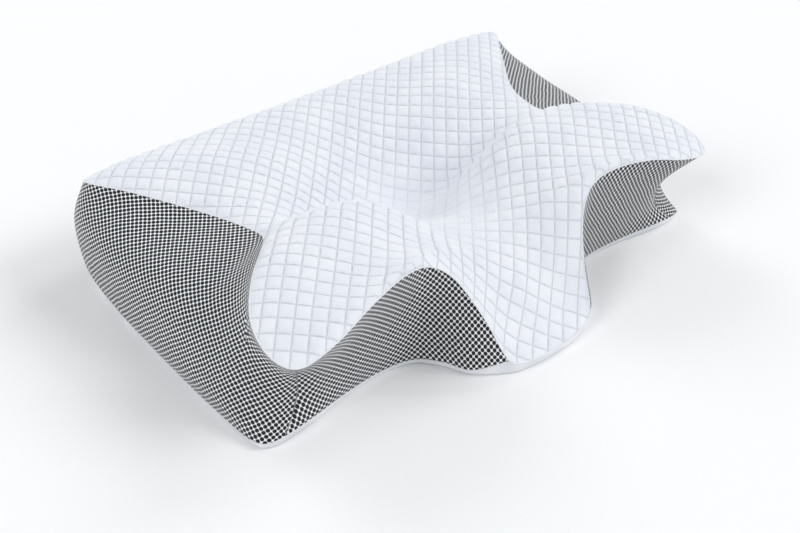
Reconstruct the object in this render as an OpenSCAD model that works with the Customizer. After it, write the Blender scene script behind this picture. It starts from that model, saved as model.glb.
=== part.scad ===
// Contoured foam pillow for cervical traction and neck support.
// A moulded foam core with two raised shoulder wings, a head hollow, a neck
// ridge and a low front lip, in a knitted liner and a zipped, panelled cover.
// Millimetres. +Z is up, +Y points to the back edge, +X to the user's left
// when lying on it, and the origin is the middle of the flat underside.

/* [Pillow] */
// Overall width across the side bulges
pillow_w = 626; // [580:2:660]
// Overall depth from the lip to the back edge
pillow_d = 450; // [420:2:470]
// Height of the crests of the two shoulder wings
pillow_h = 150; // [140:2:156]

/* [Cover] */
// Thickness of the quilted top and of the mesh and bottom fabrics
cover_t = 2.5; // [1.5:0.25:3]
// Thickness of the knitted liner under the cover
liner_t = 0.8; // [0.5:0.1:1.2]
// Air left between one layer and the next
layer_gap = 0.8; // [0.6:0.1:1]
// How far the underside's flat part lies in from the bottom seam
base_inset = 4; // [3:0.5:6]

/* [Zip] */
// Length of the two woven tapes
tape_l = 460; // [450:2:466]
// Width of one woven tape
tape_w = 9; // [7:0.5:9]
// Thickness of a tape
tape_t = 0.6; // [0.4:0.1:0.8]
// Width of one row of the coil
coil_w = 2.75; // [2.5:0.05:2.8]
// Thickness of the coil
coil_t = 2.4; // [2:0.1:2.6]
// Distance that the slider runs from closed to open
slider_travel = 408; // [380:2:410]
// Length of the slider's body
slider_l = 13; // [11:0.5:14]
// Width of the slider's body
slider_w = 11.2; // [10.6:0.1:12]
// Length of the pull tab from its pin to its end
tab_l = 26; // [20:1:28]
// Width of the pull tab
tab_w = 6.4; // [6:0.2:7]
// Radius of the pull tab's pin
pin_r = 0.8; // [0.7:0.05:0.9]

/* [Label] */
// Length of the blank care label
label_l = 30; // [20:1:40]
// Height of the blank care label
label_h = 18; // [12:1:22]

/* [Hidden] */

// Half of the pillow's shape, walked from the middle of the back edge round
// one side to the middle of the lip, at the nominal size below. Each station
// holds the top seam, the wall's upper and lower bend and the bottom seam as
// points, and then how its strip of the top surface runs: the y of its foot
// on the centre line, the crown above the seam, how sharply that crown rolls
// over at the seam, and how steeply the hollow rises towards the seam.
NOMINAL = [626, 450, 150];
STATIONS = [
    [[0, 222, 100], [0, 226, 63], [0, 226, 49], [0, 219, 6], [125, 35, 5, 3]],
    [[130, 222, 101], [130, 226, 63], [130, 226, 49], [130, 219, 6], [120, 35, 5, 3]],
    [[235, 219, 106], [235, 226, 63], [235, 226, 49], [235, 217, 6], [112, 30, 6, 4]],
    [[274, 206, 117], [285, 214, 76], [286, 214, 44], [277, 206, 6], [100, 20, 8, 5]],
    [[288, 172, 133], [304, 180, 92], [306, 178, 40], [298, 174, 6], [85, 8, 12, 6]],
    [[260, 130, 130], [303, 125, 95], [312, 122, 40], [304, 122, 6], [68, 8, 12, 6]],
    [[218, 70, 119], [294, 68, 95], [313, 66, 38], [306, 65, 6], [48, 8, 12, 4]],
    [[200, 20, 119], [284, 12, 95], [311, 8, 38], [307, 5, 6], [25, 8, 12, 1.8]],
    [[199, -10, 123], [278, -22, 94], [308, -35, 38], [307, -45, 6], [8, 8, 12, 2.2]],
    [[220, -42, 136], [274, -52, 95], [305, -66, 38], [306, -84, 6], [-8, 10, 12, 6]],
    [[256, -79, 138], [276, -84, 92], [300, -95, 36], [305, -111, 6], [-28, 12, 12, 11]],
    [[283, -116, 128], [277, -110, 84], [290, -116, 34], [303, -129, 7], [-50, 17, 10, 13]],
    [[290, -152, 116], [268, -134, 74], [272, -131, 33], [296, -142, 8], [-72, 21, 8, 12]],
    [[276, -175, 110], [257, -142, 70], [257, -136, 33], [278, -146, 9], [-92, 25, 7, 11]],
    [[238, -176, 117], [232, -150, 74], [236, -140, 35], [245, -143, 9], [-106, 22, 6, 8]],
    [[190, -168, 131], [190, -150, 86], [194, -140, 40], [200, -135, 7], [-116, 13, 6, 5]],
    [[145, -158, 134], [145, -146, 88], [148, -138, 40], [152, -132, 6], [-124, 6, 7, 2.6]],
    [[112, -155, 126], [114, -147, 82], [116, -143, 38], [118, -141, 7], [-131, 1, 12, 1.6]],
    [[88, -165, 104], [94, -162, 66], [98, -161, 32], [100, -163, 8], [-138, 1, 12, 1.3]],
    [[70, -188, 62], [78, -187, 42], [83, -188, 23], [86, -190, 8], [-145, 1, 12, 1.2]],
    [[57, -213, 19], [57, -213, 19], [57, -213, 19], [57, -213, 19], [-152, 1, 12, 1.2]],
    [[28, -221, 12], [28, -221, 12], [28, -221, 12], [28, -221, 12], [-158, 1, 12, 1.2]],
    [[0, -222, 11], [0, -222, 11], [0, -222, 11], [0, -222, 11], [-162, 1, 12, 1.2]]
];
// The stations where the cover's vertical seams and the lip's corner fall
REAR_SEAM = 2;
CORNER_SEAM = 13;
LIP_CORNER = 20;
// Height along the centre line as [y, z], from the back roll over the head
// hollow and the neck ridge down to the lip
PROFILE = [
    [226, 126], [208, 132], [180, 134], [145, 126], [110, 109], [78, 88],
    [42, 68], [8, 58], [-20, 64], [-45, 77], [-70, 87], [-98, 91],
    [-125, 88], [-150, 78], [-175, 62], [-198, 40], [-214, 22], [-226, 9]
];

// Rows taken from each gap between stations, rings across the top surface
// and rows in each of a wall's three bends
station_steps = 2;
top_rings = 9;
wall_steps = 2;
profile_steps = 8;

size = [pillow_w / NOMINAL[0], pillow_d / NOMINAL[1], pillow_h / NOMINAL[2]];
liner_d = cover_t + layer_gap;
foam_d = liner_d + liner_t + layer_gap;
// Room behind the zip for the slider's inner plate
zip_room = 5.5;
// The chain's middle line lies this far in from the back wall
chain_depth = 4.2;
zip_y = (STATIONS[0][1][1] - chain_depth) * size[1];
zip_z = (STATIONS[0][1][2] + STATIONS[0][2][2]) / 2 * size[2];
slider_x = slider_travel / 2;
plate_t = 1.2;
plate_gap = coil_t / 2 + 0.3;
flange_w = 1;
flange_gap = tape_t / 2 + 0.4;
row_gap = 0.15;
touch_gap = 0.05;
tape_edge = coil_w + row_gap + 2 * touch_gap;
// The slider's wedge starts here, ahead of its middle, and parts each row
// by this much
wedge_x = 2.4;
row_parting = 1.9;
stop_l = 3;
stop_gap = 0.6;
lug_l = 7;
lug_w = 2.8;
pin_clearance = 0.05;
pin_y = zip_y + plate_gap + plate_t + 1.7;
arm_r = 1.3;
arm_l = 4.7;
tab_t = 1.4;
label_y = 227.4 * size[1];
label_z = 24;
// The wall shrinks to a hairline where the lip's rim meets the top seam
lip_step = 0.2;
// The underside's strips start nearer the middle than the top's, to clear
// the hollow fronts
foot_share = 0.6;
eps = 0.01;

white = "#eef1f5";
mesh_grey = "#6b6d72";
foam_cream = "#f3ecd2";
nylon = "#d6d8dc";
nickel = "#b9bcc2";

// ---- curves -------------------------------------------------------------

function bend(a, b, c, d, t) =
    0.5 * (2 * b + (c - a) * t + (2 * a - 5 * b + 4 * c - d) * t * t
        + (3 * b - a - 3 * c + d) * t * t * t);

// A smooth curve through P, which runs on towards before and after its ends
function through(P, before, after, steps) =
    let (Q = concat([before], P, [after]), last = len(P))
    concat([for (i = [1 : last - 1], k = [0 : steps - 1])
        bend(Q[i - 1], Q[i], Q[i + 1], Q[i + 2], k / steps)], [Q[last]]);

// The same curve with straight ends
function smooth(P, steps) =
    let (n = len(P))
    through(P, 2 * P[0] - P[1], 2 * P[n - 1] - P[n - 2], steps);

function flip(p) = [-p[0], p[1], p[2]];
function flip_station(s) = [for (i = [0 : 3]) flip(s[i]), s[4]];
function sized(p) = [p[0] * size[0], p[1] * size[1], p[2] * size[2]];
function sized_station(s) =
    [for (i = [0 : 3]) sized(s[i]), [s[4][0] * size[1], s[4][1] * size[2], s[4][2], s[4][3]]];

function half_outline() =
    let (S = [for (s = STATIONS) sized_station(s)], n = len(S))
    through(S, flip_station(S[1]), flip_station(S[n - 2]), station_steps);

HALF = half_outline();
half_n = len(HALF) - 1;
loop_n = 2 * half_n;
CENTRE = smooth([for (p = PROFILE) [p[0] * size[1], p[1] * size[2]]], profile_steps);
function centre_z(y) = lookup(y, CENTRE);

function curve(k) = [for (s = HALF) s[k]];

// Unit vector in plan, out of the pillow, where a seam curve passes point i
function outward(P, i) =
    let (n = len(P) - 1,
         a = i == 0 ? flip(P[1]) : P[i - 1],
         b = i == n ? flip(P[n - 1]) : P[i + 1],
         t = [b[0] - a[0], b[1] - a[1]])
    [-t[1], t[0], 0] / max(norm(t), eps);

// A seam curve drawn in by d, and lowered by drop
function drawn_in(P, d, drop = 0) =
    [for (i = [0 : len(P) - 1]) P[i] - d * outward(P, i) - [0, 0, drop]];

// ---- surfaces, as rings round the whole pillow --------------------------

function ring(P) =
    [for (q = [0 : loop_n - 1]) q <= half_n ? P[q] : flip(P[loop_n - q])];

// How far out the rings of the top lie, closer together at the seam
function ring_v(j) = sin(90 * j / top_rings);

function top_point(i, v, T, drop) =
    let (p = HALF[i][4], seam_z = HALF[i][0][2],
         x = T[i][0] * v,
         y = p[0] + (T[i][1] - p[0]) * v,
         rise = 1 - pow(1 - v * v, p[3]),
         z = centre_z(y) * (1 - rise) + (seam_z + p[1]) * rise - p[1] * pow(v, p[2]))
    [x, y, z - drop];

// The top surface, drawn in and lowered by d: the centre line, then rings
function top_surface(d) =
    let (T = drawn_in(curve(0), d))
    concat([[for (i = [0 : half_n]) top_point(i, 0, T, d)]],
        [for (j = [1 : top_rings])
            ring([for (i = [0 : half_n]) top_point(i, ring_v(j), T, d)])]);

// How much of the zip's room the wall gives up at station row i
function rear_share(i) = max(0, min(1, REAR_SEAM + 1 - i / station_steps));

// One wall section at row i, drawn in by d, from the top seam down
function wall_sections(d, room = 0) =
    let (T = drawn_in(curve(0), d, d), N = drawn_in(curve(1), d),
         M = drawn_in(curve(2), d), S = drawn_in(curve(3), d))
    [for (i = [0 : half_n])
        let (back = [0, room * rear_share(i), 0],
             foot = [S[i][0], S[i][1], min(S[i][2], T[i][2])])
        i >= LIP_CORNER * station_steps
            ? [for (k = [0 : 3 * wall_steps]) T[i] - [0, 0, k * lip_step]]
            : smooth([T[i], N[i] - back, M[i] - back, foot], wall_steps)];

function wall_rings(d, room = 0) =
    let (W = wall_sections(d, room))
    [for (k = [1 : 3 * wall_steps]) ring([for (i = [0 : half_n]) W[i][k]])];

// The flat underside, d up from the outer surface, and its turned-up rim,
// which meets the top seam round the lip
function underside(d) =
    let (W = wall_sections(d),
         S = [for (i = [0 : half_n]) W[i][i > LIP_CORNER * station_steps ? 0 : 3 * wall_steps]],
         B = drawn_in(S, base_inset))
    [[for (s = HALF) [0, foot_share * s[4][0], d]],
     ring([for (b = B) [b[0], b[1], d]]),
     ring(S)];

// ---- solids between surfaces --------------------------------------------

// Index of loop point q on ring r: ring 0 is the centre line, shared by
// both halves
function at(q, r) =
    let (k = (q + loop_n) % loop_n)
    r == 0 ? (k <= half_n ? k : loop_n - k) : half_n + 1 + (r - 1) * loop_n + k;

// The two triangles of a four-sided cell. Their shared edge leans one way and
// then the other, so that no triangle lies along the middle plane.
function cell(q, a, b, c, d) =
    floor(2 * q / half_n) % 2 == 0 ? [[a, c, b], [a, d, c]] : [[a, d, b], [b, d, c]];

function sheet_faces(rings, start, flip_it) =
    [for (r = [0 : rings - 2], q = [0 : loop_n - 1])
        for (f = cell(q, at(q, r), at(q + 1, r), at(q + 1, r + 1), at(q, r + 1)))
            [for (k = flip_it ? [2, 1, 0] : [0, 1, 2]) f[k] + start]];

// The solid between an upper and a lower disc, joined round their rims
module between_discs(upper, lower) {
    shift = half_n + 1 + (len(upper) - 1) * loop_n;
    points = concat([for (r = upper) each r], [for (r = lower) each r]);
    rim = [for (q = [0 : loop_n - 1])
        let (a = at(q, len(upper) - 1), b = at(q + 1, len(upper) - 1),
             c = shift + at(q + 1, len(lower) - 1), d = shift + at(q, len(lower) - 1))
        each [[a, c, b], [a, d, c]]];
    polyhedron(points = points, faces = concat(
        sheet_faces(len(upper), 0, false), sheet_faces(len(lower), shift, true), rim));
}

// The solid between two patches of the same rows and columns
module between_patches(outer, inner) {
    rows = len(outer);
    cols = len(outer[0]);
    shift = rows * cols;
    skin = [for (i = [0 : rows - 2], k = [0 : cols - 2])
        let (a = i * cols + k, b = a + cols, c = b + 1, d = a + 1)
        each [[a, c, b], [a, d, c]]];
    rim = concat(
        [for (k = [0 : cols - 1]) k],
        [for (i = [1 : rows - 1]) i * cols + cols - 1],
        [for (k = [cols - 2 : -1 : 0]) (rows - 1) * cols + k],
        [for (i = [rows - 2 : -1 : 1]) i * cols]);
    polyhedron(
        points = concat([for (r = outer) each r], [for (r = inner) each r]),
        faces = concat(skin,
            [for (f = skin) [f[2] + shift, f[1] + shift, f[0] + shift]],
            [for (k = [0 : len(rim) - 1])
                let (a = rim[k], b = rim[(k + 1) % len(rim)])
                each [[a, b + shift, b], [a, a + shift, b + shift]]]));
}

// A piece of the cover's wall between two stations and two wall rows
module wall_panel(from_station, to_station, from_row, to_row) {
    rows = [for (i = [from_station * station_steps : to_station * station_steps]) i];
    outer = wall_sections(0);
    inner = wall_sections(cover_t);
    between_patches(
        [for (i = rows) [for (k = [from_row : to_row]) outer[i][k]]],
        [for (i = rows) [for (k = [from_row : to_row]) inner[i][k]]]);
}

// ---- foam and liner -----------------------------------------------------

function whole_surface(d) = concat(top_surface(d), wall_rings(d, zip_room));

module foam_core() {
    color(foam_cream)
        between_discs(whole_surface(foam_d), [for (k = [0, 1]) underside(foam_d)[k]]);
}

module liner_top() {
    color(white)
        between_discs(whole_surface(liner_d), whole_surface(liner_d + liner_t));
}

module liner_bottom() {
    color(white)
        between_discs(underside(liner_d + liner_t), underside(liner_d));
}

// ---- cover --------------------------------------------------------------

module quilted_top_panel() {
    color(white) between_discs(top_surface(0), top_surface(cover_t));
}

module bottom_panel() {
    color(white) between_discs(underside(cover_t), underside(0));
}

module right_side_panel() {
    color(mesh_grey) wall_panel(REAR_SEAM, CORNER_SEAM, 0, 3 * wall_steps);
}

module left_side_panel() {
    mirror([1, 0, 0]) right_side_panel();
}

module right_front_gusset() {
    color(mesh_grey) wall_panel(CORNER_SEAM, LIP_CORNER, 0, 3 * wall_steps);
}

module left_front_gusset() {
    mirror([1, 0, 0]) right_front_gusset();
}

// The back wall above the zip, and below it
module rear_panel_upper() {
    color(mesh_grey) rear_panel(0, wall_steps);
}

module rear_panel_lower() {
    color(mesh_grey) rear_panel(2 * wall_steps, 3 * wall_steps);
}

// A strip of the back wall, from one side panel to the other
module rear_panel(from_row, to_row) {
    last = REAR_SEAM * station_steps;
    outer = wall_sections(0);
    inner = wall_sections(cover_t);
    rows = [for (i = [-last : last]) i];
    between_patches(
        [for (i = rows) [for (k = [from_row : to_row]) rear_point(outer, i, k)]],
        [for (i = rows) [for (k = [from_row : to_row]) rear_point(inner, i, k)]]);
}

function rear_point(W, i, k) = i < 0 ? flip(W[-i][k]) : W[i][k];

// ---- zip ----------------------------------------------------------------

// Upper side of the chain, or its mirror image below
module zip_side(up) {
    translate([0, zip_y, zip_z]) mirror([0, 0, up ? 0 : 1]) children();
}

module slab(x0, x1, y0, y1, z0, z1) {
    translate([x0, y0, z0]) cube([x1 - x0, y1 - y0, z1 - z0]);
}

// A strip along the chain, from z0 to z1 above its middle, that turns outward
// round the slider's wedge where the closed rows begin to part
module chain_strip(x0, x1, z0, z1, thickness) {
    closed = slider_x + wedge_x - 1;
    parted = closed + 4;
    rotate([90, 0, 0]) linear_extrude(thickness, center = true) polygon([
        [x0, z0], [closed, z0], [parted, z0 + row_parting], [x1, z0 + row_parting],
        [x1, z1 + row_parting], [parted, z1 + row_parting], [closed, z1], [x0, z1]]);
}

module tape() {
    chain_strip(-tape_l / 2, tape_l / 2, tape_edge, tape_edge + tape_w, tape_t);
}

module coil() {
    chain_strip(-slider_x - slider_l / 2 - stop_gap, slider_x + slider_l / 2,
        row_gap, row_gap + coil_w, coil_t);
}

module zip_tape_upper() {
    color(white) zip_side(true) tape();
}

module zip_tape_lower() {
    color(white) zip_side(false) tape();
}

module zip_coil_upper() {
    color(nylon) zip_side(true) coil();
}

module zip_coil_lower() {
    color(nylon) zip_side(false) coil();
}

// A clip over the end of one row, at its closed end
module top_stop() {
    x = slider_x + slider_l / 2 + stop_gap;
    slab(x, x + stop_l, -coil_t / 2, coil_t / 2,
        row_gap + row_parting, tape_edge + row_parting - touch_gap);
}

module zip_top_stops() {
    color(nickel) {
        zip_side(true) top_stop();
        zip_side(false) top_stop();
    }
}

// One clip over both rows, at the chain's open end
module zip_bottom_stop() {
    x = -slider_x - slider_l / 2 - 2 * stop_gap;
    color(nickel) translate([0, zip_y, zip_z])
        slab(x - stop_l, x, -coil_t / 2, coil_t / 2,
            -tape_edge + touch_gap, tape_edge - touch_gap);
}

// A slider plate, wider in front where the two rows come in
module slider_plate() {
    r = slider_w / 2;
    rotate([90, 0, 0]) linear_extrude(plate_t, center = true) union() {
        translate([-slider_l / 2 + 1, -r + 0.6]) square([slider_l - r - 1, slider_w - 1.2]);
        translate([-slider_l / 2, -r + 1.6]) square([2, slider_w - 3.2]);
        intersection() {
            translate([slider_l / 2 - r - 1.2, 0]) circle(r, $fn = 48);
            translate([-slider_l / 2, -r]) square([slider_l, slider_w]);
        }
        translate([slider_l / 2 - 4, -r + 1.4]) square([4, slider_w - 2.8]);
    }
}

module slider_flange() {
    slab(-slider_l / 2 + 1, slider_l / 2 - 3, flange_gap, plate_gap + eps,
        slider_w / 2 - 0.6 - flange_w, slider_w / 2 - 0.6);
}

// Plates, flanges, the wedge that parts the rows, and the lug for the tab
module zip_slider() {
    plate_y = plate_gap + plate_t / 2;
    color(nickel) translate([slider_x, zip_y, zip_z]) {
        difference() {
            union() {
                for (s = [-1, 1]) translate([0, s * plate_y, 0]) slider_plate();
                slab(-lug_l / 2, lug_l / 2, plate_gap + plate_t - eps,
                    pin_y - zip_y + 1.6, -lug_w / 2, lug_w / 2);
            }
            translate([0, pin_y - zip_y, 0])
                cylinder(h = lug_w + 2, r = pin_r + pin_clearance, center = true, $fn = 32);
        }
        for (s = [0, 1], t = [0, 1])
            mirror([0, s, 0]) mirror([0, 0, t]) slider_flange();
        translate([wedge_x, 0, 0]) wedge();
    }
}

module wedge() {
    rotate([90, 0, 0]) linear_extrude(2 * plate_gap + 2 * eps, center = true)
        polygon([[0, 0], [1.6, 1.2], [3.4, 1.5], [3.4, -1.5], [1.6, -1.2]]);
}

// The tab lies over the chain, its pin across the slider's lug
module zip_pull_tab() {
    hole_r = tab_w / 2 - 1.6;
    color(nickel) translate([slider_x, pin_y, zip_z]) {
        cylinder(h = tab_w, r = pin_r, center = true, $fn = 32);
        for (s = [0, 1]) mirror([0, 0, s]) translate([0, 0, lug_w / 2 + 0.3]) {
            arm_w = tab_w / 2 - lug_w / 2 - 0.3;
            cylinder(h = arm_w, r = arm_r, $fn = 32);
            slab(-arm_l, 0, -tab_t / 2, tab_t / 2, 0, arm_w);
        }
        rotate([90, 0, 0]) linear_extrude(tab_t, center = true) difference() {
            union() {
                translate([-tab_l + tab_w / 2, -tab_w / 2])
                    square([tab_l - tab_w / 2 - arm_l, tab_w]);
                translate([-tab_l + tab_w / 2, 0]) circle(tab_w / 2, $fn = 48);
            }
            translate([-tab_l + tab_w / 2, 0]) circle(hole_r, $fn = 32);
            translate([-tab_l + tab_w / 2, -hole_r]) square([8, 2 * hole_r]);
            translate([-tab_l + tab_w / 2 + 8, 0]) circle(hole_r, $fn = 32);
        }
    }
}

// A blank folded label, sewn into the seam beside the lower back panel
module care_label() {
    x = -STATIONS[REAR_SEAM][1][0] * size[0];
    color(white) slab(x, x + label_l, label_y, label_y + tape_t, label_z, label_z + label_h);
}

foam_core();
liner_top();
liner_bottom();
quilted_top_panel();
left_side_panel();
right_side_panel();
left_front_gusset();
right_front_gusset();
rear_panel_upper();
rear_panel_lower();
bottom_panel();
zip_tape_upper();
zip_tape_lower();
zip_coil_upper();
zip_coil_lower();
zip_top_stops();
zip_bottom_stop();
zip_slider();
zip_pull_tab();
care_label();
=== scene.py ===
"""Looks for the contoured traction pillow: quilted top, mesh walls, zip, liner and foam.

Lengths are metres unless a name ends in _mm. +Y is the back edge and +Z is up.
"""
import math

import bmesh
import bpy
import numpy as np
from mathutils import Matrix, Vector, bvhtree, geometry, kdtree


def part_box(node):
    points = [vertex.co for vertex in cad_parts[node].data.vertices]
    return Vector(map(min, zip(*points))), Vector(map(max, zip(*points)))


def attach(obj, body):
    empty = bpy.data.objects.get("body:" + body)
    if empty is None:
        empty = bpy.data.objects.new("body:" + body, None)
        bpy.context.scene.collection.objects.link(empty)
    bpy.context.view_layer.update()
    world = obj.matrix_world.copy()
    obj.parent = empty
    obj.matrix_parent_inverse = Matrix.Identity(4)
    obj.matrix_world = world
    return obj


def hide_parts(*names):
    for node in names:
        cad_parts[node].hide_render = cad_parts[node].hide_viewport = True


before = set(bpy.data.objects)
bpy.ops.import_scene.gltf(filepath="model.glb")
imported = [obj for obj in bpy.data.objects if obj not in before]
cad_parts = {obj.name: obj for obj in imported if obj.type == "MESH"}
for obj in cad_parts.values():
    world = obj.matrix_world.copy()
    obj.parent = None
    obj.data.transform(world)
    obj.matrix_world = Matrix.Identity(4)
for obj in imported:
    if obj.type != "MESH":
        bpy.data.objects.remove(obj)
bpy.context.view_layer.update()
MM = 0.001

# ---- the pillow's shape ------------------------------------------------------
# Half of the outline, from the middle of the back edge round one side to the
# middle of the lip. Each station holds, in mm, the top seam, the wall's upper
# and lower bend and the bottom seam as x, y, z, and then how its strip of the
# top runs: the y of its foot on the centre line, the crown above the seam, how
# sharply that crown rolls over, and how steeply the hollow rises.
STATIONS_MM = np.array([
    [0, 222, 100, 0, 226, 63, 0, 226, 49, 0, 219, 6, 125, 35, 5, 3],
    [130, 222, 101, 130, 226, 63, 130, 226, 49, 130, 219, 6, 120, 35, 5, 3],
    [235, 219, 106, 235, 226, 63, 235, 226, 49, 235, 217, 6, 112, 30, 6, 4],
    [274, 206, 117, 285, 214, 76, 286, 214, 44, 277, 206, 6, 100, 20, 8, 5],
    [288, 172, 133, 304, 180, 92, 306, 178, 40, 298, 174, 6, 85, 8, 12, 6],
    [260, 130, 130, 303, 125, 95, 312, 122, 40, 304, 122, 6, 68, 8, 12, 6],
    [218, 70, 119, 294, 68, 95, 313, 66, 38, 306, 65, 6, 48, 8, 12, 4],
    [200, 20, 119, 284, 12, 95, 311, 8, 38, 307, 5, 6, 25, 8, 12, 1.8],
    [199, -10, 123, 278, -22, 94, 308, -35, 38, 307, -45, 6, 8, 8, 12, 2.2],
    [220, -42, 136, 274, -52, 95, 305, -66, 38, 306, -84, 6, -8, 10, 12, 6],
    [256, -79, 138, 276, -84, 92, 300, -95, 36, 305, -111, 6, -28, 12, 12, 11],
    [283, -116, 128, 277, -110, 84, 290, -116, 34, 303, -129, 7, -50, 17, 10, 13],
    [290, -152, 116, 268, -134, 74, 272, -131, 33, 296, -142, 8, -72, 21, 8, 12],
    [276, -175, 110, 257, -142, 70, 257, -136, 33, 278, -146, 9, -92, 25, 7, 11],
    [238, -176, 117, 232, -150, 74, 236, -140, 35, 245, -143, 9, -106, 22, 6, 8],
    [190, -168, 131, 190, -150, 86, 194, -140, 40, 200, -135, 7, -116, 13, 6, 5],
    [145, -158, 134, 145, -146, 88, 148, -138, 40, 152, -132, 6, -124, 6, 7, 2.6],
    [112, -155, 126, 114, -147, 82, 116, -143, 38, 118, -141, 7, -131, 1, 12, 1.6],
    [88, -165, 104, 94, -162, 66, 98, -161, 32, 100, -163, 8, -138, 1, 12, 1.3],
    [70, -188, 62, 78, -187, 42, 83, -188, 23, 86, -190, 8, -145, 1, 12, 1.2],
    [57, -213, 19, 57, -213, 19, 57, -213, 19, 57, -213, 19, -152, 1, 12, 1.2],
    [28, -221, 12, 28, -221, 12, 28, -221, 12, 28, -221, 12, -158, 1, 12, 1.2],
    [0, -222, 11, 0, -222, 11, 0, -222, 11, 0, -222, 11, -162, 1, 12, 1.2],
], float)
REAR_SEAM, CORNER_SEAM, LIP_CORNER, LIP_MIDDLE = 2, 13, 20, 22
PROFILE_MM = np.array([
    [226, 126], [208, 132], [180, 134], [145, 126], [110, 109], [78, 88],
    [42, 68], [8, 58], [-20, 64], [-45, 77], [-70, 87], [-98, 91],
    [-125, 88], [-150, 78], [-175, 62], [-198, 40], [-214, 22], [-226, 9],
], float)

COVER_T = 2.5 * MM
LINER_T = 0.8 * MM
LAYER_GAP = 0.8 * MM
BASE_INSET = 4 * MM
ZIP_ROOM = 5.5 * MM
LINER_D = COVER_T + LAYER_GAP
FOAM_D = LINER_D + LINER_T + LAYER_GAP
LIP_STEP = 0.2 * MM
FOOT_SHARE = 0.6


def bend(a, b, c, d, t):
    """The smooth curve from b to c, where a comes before and d after."""
    return 0.5 * (2 * b + (c - a) * t + (2 * a - 5 * b + 4 * c - d) * t * t
                  + (3 * b - a - 3 * c + d) * t * t * t)


FLIP = np.array([-1, 1, 1] * 4 + [1] * 4, float)
SCALED = STATIONS_MM * np.array([MM] * 14 + [1, 1])
RUN = np.vstack([SCALED[1] * FLIP, SCALED, SCALED[-2] * FLIP])


def stations_at(s):
    """The outline's rows at these places along it, 0 to LIP_MIDDLE."""
    i = np.minimum(np.floor(s).astype(int), LIP_MIDDLE - 1)
    t = (s - i)[:, None]
    return bend(RUN[i], RUN[i + 1], RUN[i + 2], RUN[i + 3], t)


def smooth_curve(points, steps):
    """A smooth curve through points, with straight ends."""
    run = np.vstack([2 * points[0] - points[1], points, 2 * points[-1] - points[-2]])
    i = np.repeat(np.arange(len(points) - 1), steps)
    t = np.tile(np.arange(steps) / steps, len(points) - 1)[:, None]
    return np.vstack([bend(run[i], run[i + 1], run[i + 2], run[i + 3], t), points[-1:]])


CENTRE = smooth_curve(PROFILE_MM * MM, 12)


def centre_z(y):
    return np.interp(y, CENTRE[::-1, 0], CENTRE[::-1, 1])


def even_places(first, last, spacing):
    """Places from station first to last, evenly spaced along the top seam."""
    s = np.linspace(first, last, 40 * (last - first) + 1)
    seam = stations_at(s)[:, 0:3]
    along = np.concatenate([[0], np.cumsum(np.linalg.norm(np.diff(seam, axis=0), axis=1))])
    count = max(2, int(round(along[-1] / spacing)))
    return np.interp(np.linspace(0, along[-1], count + 1), along, s)


def half_places(spacing):
    """Places round the whole half, with the seams' stations among them."""
    marks = [0, REAR_SEAM, CORNER_SEAM, LIP_CORNER, LIP_MIDDLE]
    runs = [even_places(a, b, spacing)[:-1] for a, b in zip(marks, marks[1:])]
    return np.concatenate(runs + [[LIP_MIDDLE]])


MIRROR = np.array([-1.0, 1.0, 1.0])


def outward(curve):
    """Unit vectors in plan, out of the pillow, along a seam curve of one half."""
    before = np.vstack([curve[1] * MIRROR, curve[:-1]])
    after = np.vstack([curve[1:], curve[-2] * MIRROR])
    t = after - before
    n = np.stack([-t[:, 1], t[:, 0], 0 * t[:, 0]], 1)
    return n / np.maximum(np.linalg.norm(n, axis=1, keepdims=True), 1e-9)


class Half:
    """One half of the pillow sampled at these places along the outline."""

    def __init__(self, places):
        self.places = places
        self.rows = stations_at(places)
        self.seams = [self.rows[:, 3 * k:3 * k + 3] for k in range(4)]
        self.foot, self.crown = self.rows[:, 12], self.rows[:, 13]
        self.roll, self.rise = self.rows[:, 14], self.rows[:, 15]

    def drawn_in(self, k, d, drop):
        """Seam or bend k, drawn in by d and lowered by drop."""
        curve = self.seams[k]
        return curve - d * outward(curve) - np.array([0, 0, drop])

    def top(self, v, d):
        """The row of the top at share v of the way out, drawn in and lowered by d."""
        seam = self.drawn_in(0, d, 0)
        x = seam[:, 0] * v
        y = self.foot + (seam[:, 1] - self.foot) * v
        rise = 1 - (1 - v * v) ** self.rise
        crown = self.crown
        z = (centre_z(y) * (1 - rise) + (self.seams[0][:, 2] + crown) * rise
             - crown * v ** self.roll)
        return np.stack([x, y, z - d], 1)

    def walls(self, d, steps, room=0.0):
        """Wall sections drawn in by d, from the top seam down: rows by heights."""
        t, n, m, s = (self.drawn_in(k, d, drop) for k, drop in enumerate((d, 0, 0, 0)))
        back = np.zeros_like(n)
        back[:, 1] = room * np.clip(REAR_SEAM + 1 - self.places, 0, 1)
        n, m = n - back, m - back
        s[:, 2] = np.minimum(s[:, 2], t[:, 2])
        run = [2 * t - n, t, n, m, s, 2 * s - m]
        rows = [bend(*run[k:k + 4], step / steps) for k in range(3) for step in range(steps)]
        out = np.stack(rows + [s], 1)
        lip = self.places >= LIP_CORNER - 1e-9
        steps_down = np.arange(3 * steps + 1)[None, :, None] * np.array([0, 0, LIP_STEP])
        out[lip] = t[lip][:, None, :] - steps_down * 2 / steps
        return out


def ring(half_row):
    """The row of one half and its mirror image as one closed loop."""
    return np.vstack([half_row, half_row[-2:0:-1] * MIRROR])


# ---- meshes ------------------------------------------------------------------

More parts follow.
